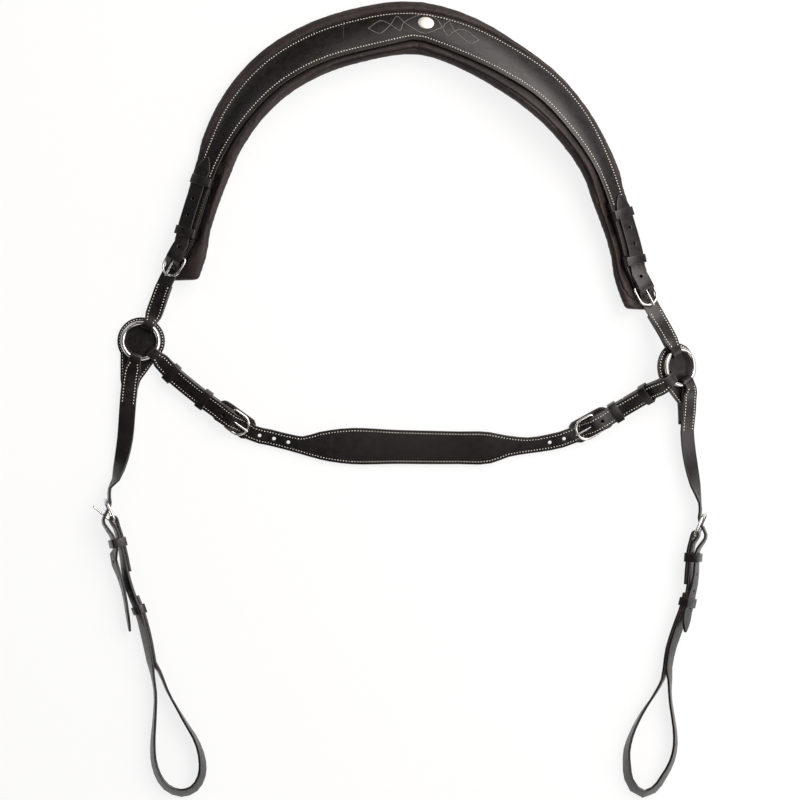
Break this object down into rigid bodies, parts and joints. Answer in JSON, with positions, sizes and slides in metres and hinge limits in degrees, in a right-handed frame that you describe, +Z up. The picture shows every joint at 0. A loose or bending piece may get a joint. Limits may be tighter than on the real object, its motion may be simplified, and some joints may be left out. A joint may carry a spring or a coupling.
{
  "type": "hunting breastplate",
  "caption": "Leather hunting breastplate for a horse: a padded, shaped breast piece joined by rings to girth loop straps and an adjustable wither strap.",
  "frame": {"origin": "middle of the laid-out piece seen from above, on the floor it lies on", "axes": "+Z up from the floor, +Y to the top of the breast arch, +X to the right of the picture"},
  "size_m": [0.7074, 0.919, 0.0433],
  "materials": {
    "bridle_leather": "dark brown bridle leather, waxed satin",
    "pad_leather": "soft dark brown pad leather, matt",
    "steel": "polished stainless steel",
    "badge_metal": "polished silver-coloured metal"
  },
  "bodies": {
    "breast": {"breast_strap": "bridle_leather", "breast_pad": "pad_leather", "badge": "badge_metal", "breast_buckle_left": "steel", "breast_buckle_right": "steel", "breast_keeper_left": "bridle_leather", "breast_keeper_right": "bridle_leather", "connector_strap_left": "bridle_leather", "connector_strap_right": "bridle_leather"},
    "left_ring": {"ring_left": "steel"},
    "right_ring": {"ring_right": "steel"},
    "girth_left": {"girth_strap_left": "bridle_leather", "ring_guard_left": "bridle_leather", "girth_buckle_left": "steel", "girth_loop_strap_left": "bridle_leather", "girth_keeper_left": "bridle_leather"},
    "girth_right": {"girth_strap_right": "bridle_leather", "ring_guard_right": "bridle_leather", "girth_buckle_right": "steel", "girth_loop_strap_right": "bridle_leather", "girth_keeper_right": "bridle_leather"},
    "wither": {"wither_strap": "bridle_leather", "wither_lining": "pad_leather", "wither_chape_left": "bridle_leather", "wither_chape_right": "bridle_leather", "wither_safe_left": "bridle_leather", "wither_safe_right": "bridle_leather", "wither_buckle_left": "steel", "wither_buckle_right": "steel", "wither_keeper_left": "bridle_leather", "wither_keeper_right": "bridle_leather"},
    "prong_breast_left": {"breast_prong_left": "steel"},
    "prong_breast_right": {"breast_prong_right": "steel"},
    "prong_girth_left": {"girth_prong_left": "steel"},
    "prong_girth_right": {"girth_prong_right": "steel"},
    "prong_wither_left": {"wither_prong_left": "steel"},
    "prong_wither_right": {"wither_prong_right": "steel"},
    "runner_breast_left": {"breast_runner_left": "bridle_leather"},
    "runner_breast_right": {"breast_runner_right": "bridle_leather"},
    "runner_girth_left": {"girth_runner_left": "bridle_leather"},
    "runner_girth_right": {"girth_runner_right": "bridle_leather"},
    "runner_wither_left": {"wither_runner_left": "bridle_leather"},
    "runner_wither_right": {"wither_runner_right": "bridle_leather"}
  },
  "joints": [
    {"name": "ring_left_spin", "type": "hinge", "parent": "breast", "child": "left_ring", "pos_m": [-0.29923, 0.06743, 0.009], "axis": [0, 0, 1], "continuous": true},
    {"name": "ring_right_spin", "type": "hinge", "parent": "breast", "child": "right_ring", "pos_m": [0.32006, 0.03733, 0.02524], "axis": [0.5592, 0, 0.829], "continuous": true},
    {"name": "girth_left_swing", "type": "hinge", "parent": "breast", "child": "girth_left", "pos_m": [-0.29923, 0.06743, 0.009], "axis": [0, 0, -1], "range_deg": [-20, 45]},
    {"name": "girth_right_swing", "type": "hinge", "parent": "breast", "child": "girth_right", "pos_m": [0.32006, 0.03733, 0.02524], "axis": [-0.5592, 0, -0.829], "range_deg": [0, 25]},
    {"name": "wither_lift", "type": "hinge", "parent": "breast", "child": "wither", "pos_m": [0.01148, 0.0384, 0.02138], "axis": [-0.9979, 0.0499, -0.0417], "range_deg": [0, 75], "deforming": ["wither_chape_left", "wither_chape_right"]},
    {"name": "breast_prong_left_lift", "type": "hinge", "parent": "breast", "child": "prong_breast_left", "pos_m": [-0.25494, 0.16563, 0.01932], "axis": [-0.7892, 0.4605, -0.4063], "range_deg": [0, 2]},
    {"name": "breast_prong_right_lift", "type": "hinge", "parent": "breast", "child": "prong_breast_right", "pos_m": [0.27637, 0.13213, 0.01913], "axis": [-0.8071, -0.4429, 0.3905], "range_deg": [0, 2]},
    {"name": "girth_prong_left_lift", "type": "hinge", "parent": "girth_left", "child": "prong_girth_left", "pos_m": [-0.32993, -0.13797, 0.0138], "axis": [0.1991, 0.0628, 0.978], "range_deg": [0, 2]},
    {"name": "girth_prong_right_lift", "type": "hinge", "parent": "girth_right", "child": "prong_girth_right", "pos_m": [0.33887, -0.15497, 0.0138], "axis": [0.1988, -0.0641, -0.9779], "range_deg": [0, 2]},
    {"name": "wither_prong_left_lift", "type": "hinge", "parent": "wither", "child": "prong_wither_left", "pos_m": [-0.19753, -0.02027, 0.0106], "axis": [-0.5673, -0.7968, -0.2079], "range_deg": [0, 2]},
    {"name": "wither_prong_right_lift", "type": "hinge", "parent": "wither", "child": "prong_wither_right", "pos_m": [0.22517, -0.02697, 0.0106], "axis": [-0.4686, 0.8586, 0.2078], "range_deg": [0, 2]},
    {"name": "breast_runner_left_slide", "type": "slide", "parent": "breast", "child": "runner_breast_left", "axis": [0.327, 0.945, -0.0108], "range_m": [-0.012, 0.001]},
    {"name": "breast_runner_right_slide", "type": "slide", "parent": "breast", "child": "runner_breast_right", "axis": [-0.3009, 0.9536, 0.0087], "range_m": [-0.01, 0.008]},
    {"name": "girth_runner_left_slide", "type": "slide", "parent": "girth_left", "child": "runner_girth_left", "axis": [0.3412, -0.94, -0.0088], "range_m": [-0.008, 0.005]},
    {"name": "girth_runner_right_slide", "type": "slide", "parent": "girth_right", "child": "runner_girth_right", "axis": [-0.2192, -0.9756, -0.0081], "range_m": [-0.006, 0.003]},
    {"name": "wither_runner_left_slide", "type": "slide", "parent": "wither", "child": "runner_wither_left", "axis": [-0.7974, 0.6024, -0.0372], "range_m": [-0.008, 0.01]},
    {"name": "wither_runner_right_slide", "type": "slide", "parent": "wither", "child": "runner_wither_right", "axis": [0.8514, 0.5225, 0.0453], "range_m": [-0.001, 0.004]}
  ]
}
